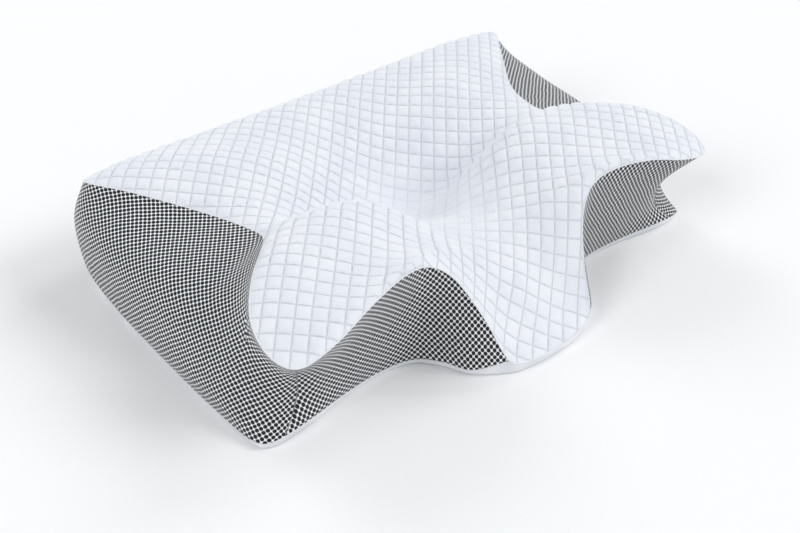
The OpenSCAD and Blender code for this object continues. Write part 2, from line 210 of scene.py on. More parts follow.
def make_object(name, points, faces, material, uv=None, sharp=50):
    """A mesh object with consistent outward normals, riding on the pillow."""
    mesh = bpy.data.meshes.new(name)
    mesh.from_pydata([tuple(p) for p in np.asarray(points, float)], [],
                     [tuple(int(i) for i in f) for f in faces])
    mesh.update()
    if uv is not None:
        layer = mesh.uv_layers.new(name="lay")
        index = np.zeros(len(mesh.loops), int)
        mesh.loops.foreach_get("vertex_index", index)
        layer.data.foreach_set("uv", np.asarray(uv, np.float32)[index].ravel())
    work = bmesh.new()
    work.from_mesh(mesh)
    bmesh.ops.recalc_face_normals(work, faces=work.faces)
    work.to_mesh(mesh)
    work.free()
    mesh.shade_smooth()
    mesh.set_sharp_from_angle(angle=math.radians(sharp))
    mesh.materials.append(material)
    obj = bpy.data.objects.new(name, mesh)
    bpy.context.scene.collection.objects.link(obj)
    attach(obj, "pillow")
    return obj


def grid_faces(rows, cols, start=0, closed_rows=False):
    """Quads of a grid of points laid out row by row."""
    last = rows if closed_rows else rows - 1
    return [(start + i * cols + k, start + i * cols + k + 1,
             start + (i + 1) % rows * cols + k + 1, start + (i + 1) % rows * cols + k)
            for i in range(last) for k in range(cols - 1)]


def shell(outer, inner):
    """Points and faces of the closed solid between two grids of the same size."""
    rows, cols = outer.shape[:2]
    shift = rows * cols
    faces = grid_faces(rows, cols) + grid_faces(rows, cols, shift)
    at = np.arange(shift).reshape(rows, cols)
    rim = [*at[0], *at[1:, -1], *at[-1, -2::-1], *at[-2:0:-1, 0]]
    faces += [(a, b, b + shift, a + shift) for a, b in zip(rim, rim[1:] + rim[:1])]
    return np.vstack([outer.reshape(-1, 3), inner.reshape(-1, 3)]), faces


def joined(a, b, count):
    """Quads between two loops of count points, numbered from a and from b."""
    return [(a + k, a + (k + 1) % count, b + (k + 1) % count, b + k) for k in range(count)]


def disc(centre, rings, start=0):
    """Points and faces of a disc: a centre line, which is ring 0, and rings round it."""
    half_n, loop_n = len(centre) - 1, len(rings[0])

    def at(q, r):
        k = q % loop_n
        if r == 0:
            return k if k <= half_n else loop_n - k
        return half_n + 1 + (r - 1) * loop_n + k
    faces = []
    for r in range(len(rings)):
        for q in range(loop_n):
            face = [at(q, r), at(q + 1, r), at(q + 1, r + 1), at(q, r + 1)]
            clean = [start + p for j, p in enumerate(face) if p != face[j - 1]]
            if len(set(clean)) > 2:
                faces.append(tuple(dict.fromkeys(clean)))
    return np.vstack([centre] + rings), faces


def between_discs(upper, lower):
    """The closed solid between two discs given as (centre line, rings)."""
    up, up_faces = disc(*upper)
    low, low_faces = disc(*lower, start=len(up))
    count = len(upper[1][0])
    rim = joined(len(up) - count, len(up) + len(low) - count, count)
    return np.vstack([up, low]), up_faces + low_faces + rim


def closing_shares(count):
    """Shares of the way out that come closer together at the seam."""
    return [math.sin(math.pi / 2 * j / count) for j in range(1, count + 1)]


def top_disc(half, shares, d):
    """The top as a centre line and a ring at each share of the way out."""
    return half.top(0, d), [ring(half.top(v, d)) for v in shares]


def tube(path, radius, sides, closed, squeeze=1.0, up=(0, 0, 1)):
    """Points and faces of a tube round a path."""
    path = np.asarray(path, float)
    if closed:
        t = np.roll(path, -1, 0) - np.roll(path, 1, 0)
    else:
        t = np.gradient(path, axis=0)
    t /= np.linalg.norm(t, axis=1, keepdims=True)
    side = np.cross(t, np.array(up, float))
    side /= np.maximum(np.linalg.norm(side, axis=1, keepdims=True), 1e-9)
    lift = np.cross(side, t)
    turn = (np.arange(sides) * 2 * math.pi / sides)[None, :, None]
    points = (path[:, None] + radius * np.cos(turn) * side[:, None]
              + radius * squeeze * np.sin(turn) * lift[:, None])
    n = len(path)
    faces = [face for i in range(n if closed else n - 1)
             for face in joined(i * sides, (i + 1) % n * sides, sides)]
    if not closed:
        faces += [tuple(range(sides)), tuple((n - 1) * sides + k for k in range(sides))]
    return points.reshape(-1, 3), faces


# ---- materials ---------------------------------------------------------------

def linear(r, g, b):
    """A colour given as 0 to 255 screen values."""
    c = np.array([r, g, b], float) / 255
    c = np.where(c <= 0.04045, c / 12.92, ((c + 0.055) / 1.055) ** 2.4)
    return tuple(float(v) for v in c) + (1.0,)


NOISE_RANGE = 0.3, 0.7


class Tree:
    """A material's nodes, added one line at a time."""

    def __init__(self, name, roughness, **sockets):
        self.material = bpy.data.materials.new(name)
        self.material.use_nodes = True
        self.nodes = self.material.node_tree.nodes
        self.links = self.material.node_tree.links
        self.shader = self.nodes["Principled BSDF"]
        self.set("Roughness", roughness)
        for key, value in sockets.items():
            self.set(key.replace("_", " "), value)

    def set(self, socket, value):
        if isinstance(value, bpy.types.NodeSocket):
            self.links.new(value, self.shader.inputs[socket])
        else:
            self.shader.inputs[socket].default_value = value

    def add(self, kind, *inputs, out=0, **settings):
        node = self.nodes.new(kind)
        for key, value in settings.items():
            setattr(node, key, value)
        for socket, value in zip(node.inputs, inputs):
            if isinstance(value, bpy.types.NodeSocket):
                self.links.new(value, socket)
            elif value is not None:
                socket.default_value = value
        return node.outputs[out]

    def math(self, operation, *inputs):
        return self.add("ShaderNodeMath", *inputs, operation=operation)

    def uv(self):
        """The two coordinates of the piece's own UV map."""
        lay = self.add("ShaderNodeUVMap", uv_map="lay")
        apart = self.add("ShaderNodeSeparateXYZ", lay).node
        return apart.outputs[0], apart.outputs[1]

    def place(self):
        return self.add("ShaderNodeTexCoord", out=3)

    def noise(self, at, scale, detail=2.0):
        return self.add("ShaderNodeTexNoise", at, None, scale, detail)

    def span(self, value, low, high, to_low=0.0, to_high=1.0):
        """value from low..high, eased, to to_low..to_high."""
        return self.add("ShaderNodeMapRange", value, low, high, to_low, to_high,
                        interpolation_type="SMOOTHSTEP")

    def vary(self, noise, low=0.0, high=1.0):
        """low to high over the usual range of a noise."""
        return self.span(noise, *NOISE_RANGE, low, high)

    def mix(self, share, a, b):
        """A colour from a to b; the node's other inputs are for other types of data."""
        return self.add("ShaderNodeMix", share, *[None] * 5, a, b, out=2, data_type="RGBA")

    def from_line(self, value):
        """Distance of value from the nearest whole number, 0 to 0.5."""
        half = self.math("ADD", value, 0.5)
        return self.math("ABSOLUTE", self.math("SUBTRACT", self.math("FRACT", half), 0.5))

    def bump(self, height, distance, strength=1.0, after=None):
        return self.add("ShaderNodeBump", strength, distance, None, height, after)

    def finished(self, colour, roughness, normal=None):
        """The material, with these on its shader."""
        self.set("Base Color", colour)
        self.set("Roughness", roughness)
        if normal is not None:
            self.set("Normal", normal)
        return self.material


QUILT_PITCH = 14.2 * MM
# One family of quilting lines turns this far from the pillow's width
LINE_ANGLE = math.radians(47.5)
PUFF = 2.3 * MM
SUNK = 0.6 * MM
# How far the quilted cloth stretches over the slopes
GIVE = 1.16
# The cloth lies smoothest over the neck and the hollow's middle
TAUT_Y, TAUT_X, TAUT_LENGTH, TAUT_Z = -35 * MM, 55 * MM, 85 * MM, 80 * MM
# In one quilting cell: a sewn channel's half width, and the number of stitches
CHANNEL, STITCHES = 0.075, 5.0
WEAVE_PITCH_MM = 4.3


def ribbed(tree, coordinate, period):
    """A soft ridge every period, 0 to 1."""
    return tree.span(tree.from_line(tree.math("DIVIDE", coordinate, period)), 0.0, 0.5)


def quilted_knit():
    """White knit with sewn channels, their shade painted into the colour; its UV map counts
    quilting cells.
    """
    m = Tree("quilted_knit", 0.72, Sheen_Weight=0.35, Sheen_Roughness=0.45)
    a, b = m.uv()
    near_a, near_b = m.from_line(a), m.from_line(b)
    near = m.math("MINIMUM", near_a, near_b)
    kind = "ShaderNodeVectorMath"
    offset = m.add(kind, m.place(), (0, TAUT_Y, TAUT_Z), operation="SUBTRACT")
    scaled = m.add(kind, offset, (TAUT_X, TAUT_LENGTH, 1), operation="DIVIDE")
    slack = m.span(m.add(kind, scaled, operation="LENGTH", out=1), 0.4, 1.6, 0.35, 1.0)
    dip = m.math("MULTIPLY", slack, m.span(near, 0.0, CHANNEL, 1.0, 0.0))
    channel = m.math("SUBTRACT", 1.0, dip)

    def stitches(near_line, along):
        place = m.math("FRACT", m.math("MULTIPLY", along, STITCHES))
        return m.math("MULTIPLY", m.span(near_line, 0.018, 0.03, 1.0, 0.0),
                      m.span(place, 0.62, 0.74, 1.0, 0.0))
    stitch = m.math("MAXIMUM", stitches(near_a, b), stitches(near_b, a))
    loops = m.math("MULTIPLY", ribbed(m, a, 0.085), ribbed(m, b, 0.105))
    cloud, fibre = m.noise(m.place(), 22.0, 3.0), m.noise(m.place(), 900.0)
    face = m.mix(m.span(cloud, 0.35, 0.7), linear(225, 228, 235), linear(232, 234, 238))
    face = m.mix(m.span(loops, 0.0, 0.9, 0.10, 0.0), face, linear(196, 202, 216))
    # Painted shade: the sewn channels are coloured a darker blue-grey for the shade in their
    # grooves, less where the cloth lies taut; the same mask sinks them in the bump.
    colour = m.mix(channel, linear(204, 209, 220), face)
    colour = m.mix(m.math("MULTIPLY", stitch, 0.5), colour, linear(236, 237, 240))
    fine = m.bump(m.math("ADD", loops, m.math("MULTIPLY", fibre, 0.6)), 0.00018, 0.6)
    sewn = m.math("ADD", channel, m.math("MULTIPLY", stitch, 0.35))
    return m.finished(colour, m.vary(fibre, 0.66, 0.80), m.bump(sewn, 0.0007, 0.85, fine))


def mesh_fabric():
    """Knitted mesh: round holes, painted near black for the shade seen through them, in a light
    yarn; its UV map is in metres.
    """
    m = Tree("mesh_fabric", 0.78, Sheen_Weight=0.15)
    u, v = m.uv()
    at = m.place()
    drift = m.math("MULTIPLY", m.math("SUBTRACT", m.noise(at, 60.0, 1.0), 0.5), 0.0016)
    u, v = m.math("ADD", u, drift), m.math("SUBTRACT", v, drift)
    step = WEAVE_PITCH_MM * MM * math.sqrt(2)
    p = m.math("DIVIDE", m.math("ADD", u, v), step)
    q = m.math("DIVIDE", m.math("SUBTRACT", u, v), step)
    near_p, near_q = m.from_line(p), m.from_line(q)
    apart = m.math("SQRT", m.math("ADD", m.math("MULTIPLY", near_p, near_p),
                                  m.math("MULTIPLY", near_q, near_q)))
    yarn = m.span(apart, 0.43, 0.475)
    knot = m.span(m.math("MINIMUM", near_p, near_q), 0.30, 0.5)
    twist = m.noise(at, 700.0)
    light = m.mix(m.vary(twist), linear(222, 223, 226), linear(244, 245, 247))
    # Painted highlight: the yarn is coloured lighter where it crosses between holes, for the
    # light the raised crossings catch; they are raised in the bump too.
    light = m.mix(m.math("MULTIPLY", knot, 0.5), light, linear(248, 248, 250))
    height = m.math("ADD", yarn, m.math("MULTIPLY", knot, 0.5))
    # Painted shade: the holes between the yarn are coloured near black for the shade seen
    # through them.
    return m.finished(m.mix(yarn, linear(6, 6, 8), light), m.vary(twist, 0.70, 0.85),
                      m.bump(height, 0.0007, 0.7, m.bump(twist, 0.0001, 0.5)))


def plain_cloth(name, light, dark, period, roughness=0.75, sheen=0.2, depth=0.00012):
    """A plain woven or knitted cloth; its UV map is in metres."""
    m = Tree(name, roughness, Sheen_Weight=sheen)
    u, v = m.uv()
    threads = m.math("MULTIPLY", ribbed(m, u, period), ribbed(m, v, period * 1.2))
    cloud, fibre = m.noise(m.place(), 18.0, 3.0), m.noise(m.place(), 1100.0)
    face = m.mix(m.vary(cloud), dark, light)
    height = m.math("ADD", threads, m.math("MULTIPLY", fibre, 0.5))
    return m.finished(m.mix(m.span(threads, 0.0, 0.8, 0.25, 0.0), face, dark),
                      m.vary(fibre, roughness - 0.05, roughness + 0.06),
                      m.bump(height, depth, 0.7))


def foam():
    """Cream slow-recovery foam with open cells."""
    m = Tree("memory_foam", 0.86, Subsurface_Weight=0.08)
    at = m.place()
    pores = m.span(m.add("ShaderNodeTexVoronoi", at, None, 900.0), 0.1, 0.5)
    cloud = m.noise(at, 12.0, 4.0)
    face = m.mix(m.vary(cloud), linear(236, 226, 196), linear(246, 240, 220))
    return m.finished(m.mix(pores, linear(212, 198, 160), face), m.vary(cloud, 0.82, 0.92),
                      m.bump(pores, 0.0004, 0.6))


def thread(name, light, dark, period):
    """Sewing thread laid in a row; its UV map runs along and round the seam."""
    m = Tree(name, 0.6, Sheen_Weight=0.3)
    u, v = m.uv()
    slant = m.math("ADD", m.math("DIVIDE", u, period), v)
    turns = m.span(m.from_line(slant), 0.05, 0.45)
    fibre = m.noise(m.place(), 1200.0)
    return m.finished(m.mix(turns, dark, light), m.vary(fibre, 0.55, 0.7),
                      m.bump(turns, 0.0003, 0.8))


def zip_tape():
    """Herringbone tape; its UV map is in metres along and across."""
    m = Tree("zip_tape", 0.7, Sheen_Weight=0.2)
    u, v = m.uv()
    chevron = m.math("FRACT", m.math("DIVIDE", v, 0.004))
    chevron = m.math("ABSOLUTE", m.math("SUBTRACT", chevron, 0.5))
    lines = m.math("ADD", m.math("DIVIDE", u, 0.0012), m.math("MULTIPLY", chevron, 3.0))
    rib = m.span(m.from_line(lines), 0.05, 0.45)
    fibre = m.noise(m.place(), 900.0)
    return m.finished(m.mix(rib, linear(206, 208, 214), linear(238, 239, 242)),
                      m.vary(fibre, 0.62, 0.78), m.bump(rib, 0.0002, 0.8))


def coil_nylon():
    m = Tree("zip_coil", 0.35, Coat_Weight=0.15)
    cloud = m.noise(m.place(), 300.0)
    tone = m.mix(m.vary(cloud), linear(206, 209, 214), linear(232, 234, 238))
    return m.finished(tone, m.vary(cloud, 0.28, 0.42))


def nickel():
    """Die-cast metal with a worn satin plating."""
    m = Tree("zip_metal", 0.3, Metallic=1.0)
    cloud, worn = m.noise(m.place(), 250.0, 3.0), m.noise(m.place(), 1500.0)
    face = m.mix(m.span(cloud, 0.35, 0.65), linear(176, 178, 182), linear(206, 208, 212))
    return m.finished(face, m.vary(worn, 0.24, 0.42), m.bump(worn, 0.00004, 0.5))


KNIT = quilted_knit()
MESH = mesh_fabric()
BASE = plain_cloth("base_fabric", linear(238, 239, 242), linear(216, 218, 224), 0.9 * MM)
LINER = plain_cloth("liner_knit", linear(242, 242, 244), linear(222, 223, 228), 0.7 * MM)
FOAM = foam()
TAPE = zip_tape()
COIL = coil_nylon()
METAL = nickel()
SATIN = plain_cloth("label_satin", linear(246, 246, 247), linear(228, 229, 233), 0.35 * MM,
                    roughness=0.4, sheen=0.4, depth=0.00005)
THREAD = thread("seam_thread", linear(246, 247, 249), linear(214, 217, 224), 1.6 * MM)
SEWN = thread("corner_thread", linear(150, 151, 155), linear(70, 71, 75), 1.6 * MM)

# ---- the quilted top ----------------------------------------------------------
FINE, COARSE = 2.0 * MM, 5.0 * MM
FAN_RINGS = 140
half = Half(half_places(FINE))
seam_loop = ring(half.seams[0])
fan_points, fan_faces = disc(*top_disc(half, closing_shares(FAN_RINGS), 0.0))
fan_tree = bvhtree.BVHTree.FromPolygons([tuple(p) for p in fan_points], fan_faces)


def height_at(x, y):
    """Height of the top's surface over a point in plan, or NaN beyond the seam."""
    hit = fan_tree.ray_cast(Vector((x, y, 1.0)), Vector((0, 0, -1)))
    return hit[0].z if hit[0] is not None else math.nan


def neighbour_mean(grid):
    """The mean of each point's four neighbours; the grid's edges wrap round."""
    return sum(np.roll(grid, by, axis) for axis in (0, 1) for by in (1, -1)) / 4


# Half the size of the grid of heights, and the turns that smooth it beyond the seam
PLAN_X, PLAN_Y, BEYOND_TURNS = 360 * MM, 280 * MM, 400


def height_grid(spacing):
    """Heights over a regular grid in plan, carried on smoothly beyond the seam."""
    xs = np.arange(-PLAN_X, PLAN_X + spacing, spacing)
    ys = np.arange(-PLAN_Y, PLAN_Y + spacing, spacing)
    z = np.array([[height_at(x, y) for y in ys] for x in xs])
    beyond = np.isnan(z)
    while np.isnan(z).any():
        padded = np.pad(z, 1, constant_values=np.nan)
        near = np.stack([padded[1 + a:len(xs) + 1 + a, 1 + b:len(ys) + 1 + b]
                         for a in (-1, 0, 1) for b in (-1, 0, 1)])
        known = ~np.isnan(near)
        mean = np.where(known, near, 0).sum(0) / np.maximum(known.sum(0), 1)
        z = np.where(np.isnan(z) & known.any(0), mean, z)
    for turn in range(BEYOND_TURNS):
        mean = neighbour_mean(np.pad(z, 1, mode="edge"))[1:-1, 1:-1]
        z = np.where(beyond, mean, z)
    return xs, ys, z


def sample_grid(grid, x, y):
    """Bilinear height at points in plan."""
    xs, ys, z = grid
    i = np.clip((x - xs[0]) / (xs[1] - xs[0]), 0, len(xs) - 1.001)
    j = np.clip((y - ys[0]) / (ys[1] - ys[0]), 0, len(ys) - 1.001)
    a, b = i.astype(int), j.astype(int)
    s, t = i - a, j - b
    return ((z[a, b] * (1 - s) + z[a + 1, b] * s) * (1 - t)
            + (z[a, b + 1] * (1 - s) + z[a + 1, b + 1] * s) * t)


def inside(points, segments):
    """Which points in plan lie inside the outline made of these segments."""
    x, y = points[:, 0], points[:, 1]
    result = np.zeros(len(points), bool)
    for (x0, y0), (x1, y1) in segments:
        if y0 != y1:
            cross = (y0 > y) != (y1 > y)
            result ^= cross & (x < (x1 - x0) * (y - y0) / (y1 - y0) + x0)
    return result


def plan_tree(points):
    """A search tree of points in plan."""
    tree = kdtree.KDTree(len(points))
    for k, (x, y) in enumerate(points):
        tree.insert((x, y, 0), k)
    tree.balance()
    return tree


def link_ends(rows, cols, a, b):
    """Both ends of the links from a grid's points to those a rows and b columns on."""
    return ((slice(0, rows - a), slice(max(0, -b), cols - max(0, b))),
            (slice(a, rows), slice(max(0, b), cols - max(0, -b))))


def spring_moves(place, links, strength, pack=1.0, give=1.0):
    """How each point moves to bring its links back between their limits of length."""
    push, count = np.zeros_like(place[..., :2]), np.zeros(place.shape[:2])
    for first, second, length, weight in links:
        step = place[second] - place[first]
        size = np.maximum(np.linalg.norm(step, axis=2, keepdims=True), 1e-9)
        held = np.clip(size, pack * length, give * length)
        pull = weight * 0.5 * (1 - held / size) * step[..., :2]
        push[first] += pull
        push[second] -= pull
        count[first] += weight
        count[second] += weight
    return strength * push / count[..., None]


def eased(share):
    """A share held between 0 and 1, with a soft start and end."""
    t = np.clip(share, 0, 1)
    return t * t * (3 - 2 * t)


CELLS, STEPS = 29, 8
LATTICE_Y = 10 * MM
# The drape: its turns, how far the cloth packs, how hard links and smoothing act
DRAPE_TURNS, PACK, DRAPE_PUSH, DRAPE_EASE, DIAGONAL = 500, 0.97, 1.6, 0.12, 0.25
GROUND = height_grid(4 * MM)


def draped_lattice():
    """The quilting lines' crossings in plan, as a cloth laid over the top would carry them."""
    n = 2 * CELLS + 1
    i, j = np.meshgrid(np.arange(n) - CELLS, np.arange(n) - CELLS, indexing="ij")
    along = np.array([math.cos(LINE_ANGLE), math.sin(LINE_ANGLE)])
    across = np.array([math.sin(LINE_ANGLE), -math.cos(LINE_ANGLE)])
    middle = np.array([0, LATTICE_Y])
    place = middle + QUILT_PITCH * (i[..., None] * along + j[..., None] * across)
    links = [(*link_ends(n, n, a, b), math.hypot(a, b) * QUILT_PITCH, weight)
             for a, b, weight in ((1, 0, 1.0), (0, 1, 1.0), (1, 1, DIAGONAL), (1, -1, DIAGONAL))]
    for turn in range(DRAPE_TURNS):
        full = np.dstack([place, sample_grid(GROUND, place[..., 0], place[..., 1])])
        place += spring_moves(full, links, DRAPE_PUSH, PACK, GIVE)
        ease = DRAPE_EASE * (neighbour_mean(place) - place)
        place[1:-1, 1:-1] += ease[1:-1, 1:-1]
        place -= place[CELLS, CELLS] - middle
    return place


def refine(field, steps):
    """A smooth finer grid through a grid of values."""
    for axis in (0, 1):
        field = np.swapaxes(field, 0, axis)
        field = smooth_curve(field.reshape(len(field), -1), steps).reshape(
            (len(field) - 1) * steps + 1, *field.shape[1:])
        field = np.swapaxes(field, 0, axis)
    return field


# How near the seam the lattice, its easing and its full puffs go
RIM_CLEAR, EASE_CLEAR, RIM_FADE = 1.3 * MM, 3.0 * MM, 6 * MM
# How far the padded cloth may round a ridge down or bridge a dip
EASE_TURNS, EASE_DOWN, EASE_UP = 60, 0.9 * MM, 3.5 * MM
PUFF_SHARP, PUFF_LOW, PUFF_HIGH = 0.55, 0.78, 1.22
TAUT_LOSS, TAUT_REACH, STEEP_PUFF = 0.7, 1.6, 0.4
# The rings of the panel's inner face: even ones, and a few more at the seam
INNER_SHARES = [*np.linspace(0, 0.9, 17)[1:], 0.94, 0.97, 0.985, 1.0]


def on_the_top(flat, loop):
    """Which lattice points the top has, their distances from its rim and their heights."""
    keep = np.zeros(len(flat), bool)
    near = np.where((flat > loop.min(0)).all(1) & (flat < loop.max(0)).all(1))[0]
    keep[near[inside(flat[near], zip(loop, np.roll(loop, -1, 0)))]] = True
    rim = plan_tree(loop)
    gap = np.full(len(flat), -1.0)
    for k in np.where(keep)[0]:
        gap[k] = rim.find((*flat[k], 0))[2]
    keep &= gap > RIM_CLEAR
    z = sample_grid(GROUND, flat[:, 0], flat[:, 1])
    for k in np.where(keep)[0]:
        height = height_at(*flat[k])
        keep[k] = not math.isnan(height)
        if keep[k]:
            z[k] = height
    return keep, gap, z


def bridged(exact, free):
    """Heights of the padded cloth, which bridges small dips and rounds small ridges."""
    z = exact.copy()
    for turn in range(EASE_TURNS):
        mean = np.clip(neighbour_mean(z), exact - EASE_DOWN, exact + EASE_UP)
        z = np.where(free, mean, z)
    return z


def puff_lift(flat, cell, upright, gap):
    """How far each lattice point stands off: cells puff less where taut or steep."""
    puff = abs(np.sin(math.pi * cell)).prod(1) ** PUFF_SHARP
    taut = np.hypot(flat[:, 0] / TAUT_X, (flat[:, 1] - TAUT_Y) / TAUT_LENGTH)
    puff *= 1 - TAUT_LOSS * np.clip(TAUT_REACH - taut, 0, 1) ** 2
    puff *= STEEP_PUFF + (1 - STEEP_PUFF) * eased((upright - 0.5) / 0.3)
    size = 2 * CELLS + 1
    uneven = np.random.default_rng(4).uniform(PUFF_LOW, PUFF_HIGH, (size, size))
    puff *= uneven[tuple(np.floor(cell).astype(int).T + CELLS)]
    return (PUFF * puff - SUNK) * eased(gap / RIM_FADE)


def rim_band(quads, flat, loop):
    """Triangles between the lattice's border and the seam, numbered after the lattice."""
    edges = np.sort(np.concatenate([quads[:, [k, (k + 1) % 4]] for k in range(4)]), 1)
    _, first, times = np.unique(edges, axis=0, return_index=True, return_counts=True)
    border = edges[first[times == 1]]
    ids = np.unique(border)
    count, shift = len(loop), len(ids)
    lines = [(int(a), int(b)) for a, b in np.searchsorted(ids, border)]
    lines += [(shift + k, shift + (k + 1) % count) for k in range(count)]
    points = [Vector(p) for p in np.vstack([flat[ids], loop])]
    out = geometry.delaunay_2d_cdt(points, lines, [], 0, 1e-7, True)
    corners = np.array([tuple(v) for v in out[0]])
    tri = np.array([f for f in out[2] if len(f) == 3])
    middle = corners[tri].mean(1)
    within = inside(middle, zip(loop, np.roll(loop, -1, 0)))
    tri = tri[within & ~inside(middle, flat[border])]
    given = np.array([min(source) for source in out[3]])
    return np.concatenate([ids, len(flat) + np.arange(count)])[given[tri]]


def quilted_top():
    """The top panel: a lattice of puffed cells, joined to the seam by a narrow band."""
    plan = refine(draped_lattice(), STEPS)
    n = len(plan)
    flat = plan.reshape(-1, 2)
    count = np.arange(n) / STEPS - CELLS
    cell = np.stack(np.meshgrid(count, count, indexing="ij"), 2).reshape(-1, 2)
    loop = seam_loop[:, :2]
    keep, gap, z = on_the_top(flat, loop)
    kept = keep.reshape(n, n)
    i, j = np.where(kept[:-1, :-1] & kept[1:, :-1] & kept[1:, 1:] & kept[:-1, 1:])
    quads = np.stack([i * n + j, (i + 1) * n + j, (i + 1) * n + j + 1, i * n + j + 1], 1)
    used = np.unique(quads)
    quads = np.searchsorted(used, quads)
    z = bridged(z.reshape(n, n), kept & (gap.reshape(n, n) > EASE_CLEAR))
    full = np.dstack([plan, z])
    normal = np.cross(np.gradient(full, axis=1), np.gradient(full, axis=0))
    normal /= np.maximum(np.linalg.norm(normal, axis=2, keepdims=True), 1e-12)
    normal = normal.reshape(-1, 3)
    normal[normal[:, 2] < 0.2] = (0, 0, 1)
    lift = puff_lift(flat, cell, normal[:, 2], gap)
    points = (full.reshape(-1, 3) + normal * lift[:, None])[used]
    faces = quads.tolist() + rim_band(quads, flat[used], loop).tolist()
    # where the seam lies on the lattice
    nearest = plan_tree(flat[used])
    seam_cell = []
    for point in loop:
        k = used[nearest.find((*point, 0))[1]]
        i, j = (min(max(q, 1), n - 2) for q in divmod(k, n))
        way = np.column_stack([plan[i + 1, j] - plan[i - 1, j],
                               plan[i, j + 1] - plan[i, j - 1]]) * STEPS / 2
        seam_cell.append(cell[k] + np.linalg.solve(way, point - flat[k]))
    # the inner face, joined to the outer one round the rim
    rim = len(points)
    low, low_faces = disc(*top_disc(half, INNER_SHARES, COVER_T), start=rim + len(loop))
    faces += low_faces + joined(rim, rim + len(low), len(loop))
    return make_object("quilted_top", np.vstack([points, seam_loop, low]), faces, KNIT,
                       np.vstack([cell[used], seam_cell, low[:, :2] / QUILT_PITCH]), sharp=70)


top = quilted_top()
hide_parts("quilted_top_panel")

# ---- mesh walls ---------------------------------------------------------------
WALL_STEPS = 9
LAY_PUSH, COARSE_TURNS, FINE_TURNS = 1.8, 900, 60


def wall_uv(grid, middle, start):
    """The wall laid flat, in metres: along from row start, and up from its foot."""
    line = grid[:, middle]
    way = np.gradient(line, axis=0) * np.array([1, 1, 0])
    way /= np.linalg.norm(way, axis=1, keepdims=True)
    between = way[1:] + way[:-1]
    between /= np.linalg.norm(between, axis=1, keepdims=True)
    run = np.einsum("ijk,ik->ij", np.diff(grid, axis=0), between)
    u = np.concatenate([np.zeros((1, grid.shape[1])), np.cumsum(run, axis=0)])
    u += (grid[start] - line[start]) @ way[start] - u[start]
    step = np.diff(grid, axis=1)
    sideways = np.einsum("ijk,ik->ij", step, way)
    rise = np.sqrt(np.maximum((step ** 2).sum(2) - sideways ** 2, 0))
    v = np.concatenate([np.cumsum(rise[:, ::-1], axis=1)[:, ::-1], np.zeros((len(grid), 1))], 1)
    return np.stack([u, v], 2).reshape(-1, 2)


def laid_flat(grid, uv, turns):
    """The flat grid eased until its lengths are those of the curved grid."""
    rows, cols = grid.shape[:2]
    uv = uv.reshape(rows, cols, 2).copy()
    ends = [link_ends(rows, cols, a, b)
            for a, b in ((1, 0), (0, 1), (1, 1), (1, -1), (2, 0), (0, 2))]
    links = [(first, second,
              np.linalg.norm(grid[second] - grid[first], axis=2, keepdims=True), 1.0)
             for first, second in ends]
    for turn in range(turns):
        uv += spring_moves(uv, links, LAY_PUSH)
    return uv


# How the knit is stretched in each panel: for its two families of rows of holes,
# the distance between rows in mm and the direction across them in degrees
EVEN_KNIT = ((WEAVE_PITCH_MM, 45), (WEAVE_PITCH_MM, 135))
KNIT_LAY = {
    "left_side_mesh": ((4.2, 46), (4.25, 131)),
    "right_side_mesh": ((4.2, 46), (4.4, 132)),
    "left_gusset_mesh": ((4.45, 43), (4.7, 146)),
    "right_gusset_mesh": ((6.2, 37), (4.0, 140)),
}


def knit_uv(name, uv):
    """The flat lay with the panel's stretch of the knit in it."""
    def across(lay):
        return np.array([[math.cos(math.radians(a)) / d, math.sin(math.radians(a)) / d]
                         for d, a in lay])
    turned = np.linalg.inv(across(EVEN_KNIT)) @ across(KNIT_LAY.get(name, EVEN_KNIT))
    return uv @ turned.T


def wall_lay(grid, middle, start):
    """The wall laid flat: first every few points, then each point between them."""
    rows, cols = grid.shape[:2]
    uv = wall_uv(grid, middle, start).reshape(rows, cols, 2)
    r = np.unique(np.round(np.linspace(0, rows - 1, max(2, rows // 4))).astype(int))
    c = np.unique(np.round(np.linspace(0, cols - 1, max(2, cols // 3))).astype(int))
    moved = laid_flat(grid[np.ix_(r, c)], uv[np.ix_(r, c)], COARSE_TURNS) - uv[np.ix_(r, c)]
    across = np.stack([[np.interp(np.arange(cols), c, line[:, k]) for k in (0, 1)]
                       for line in moved])
    full = np.stack([[np.interp(np.arange(rows), r, across[:, k, j]) for j in range(cols)]
                     for k in (0, 1)])
    return laid_flat(grid, uv + full.transpose(2, 1, 0), FINE_TURNS).reshape(-1, 2)


# The walls' puff, its length at a seam and how soon it is full in height
WALL_PUFF, PUFF_END, PUFF_RISE = 1.6 * MM, 24 * MM, 0.6
# Where the back's two strips draw together past the zip, over this length
ZIP_Z, ZIP_END, ZIP_CLOSE = 56 * MM, 216 * MM, 9 * MM


def puffed(grids):
    """Wall grids moved outward between their seams, where the foam fills them."""
    outer = grids[0]
    cols = outer.shape[1]
    along = np.gradient(outer, axis=0)
    normal = np.cross(along, np.gradient(outer, axis=1))
    normal /= np.maximum(np.linalg.norm(normal, axis=2, keepdims=True), 1e-9)
    middle = outer.mean(axis=(0, 1)) * np.array([0, 1, 1])
    if ((outer - middle) * normal).sum() < 0:
        normal = -normal
    run = np.cumsum(np.linalg.norm(along[:, cols // 2], axis=1))
    from_ends = np.minimum(run - run[0], run[-1] - run)
    ends = np.sin(math.pi / 2 * np.clip(from_ends / PUFF_END, 0, 1))
    heights = np.sin(math.pi * np.arange(cols) / (cols - 1)) ** PUFF_RISE
    lift = WALL_PUFF * ends[:, None, None] * heights[None, :, None] * normal
    return [grid + lift for grid in grids]


FACES_D = 0.0, COVER_T


def mesh_piece(name, node, grids, uv):
    """A panel of mesh between its outer and its inner grid."""
    points, faces = shell(*grids)
    piece = make_object(name, points, faces, MESH, np.vstack([uv, uv]))
    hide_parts(node)
    return piece


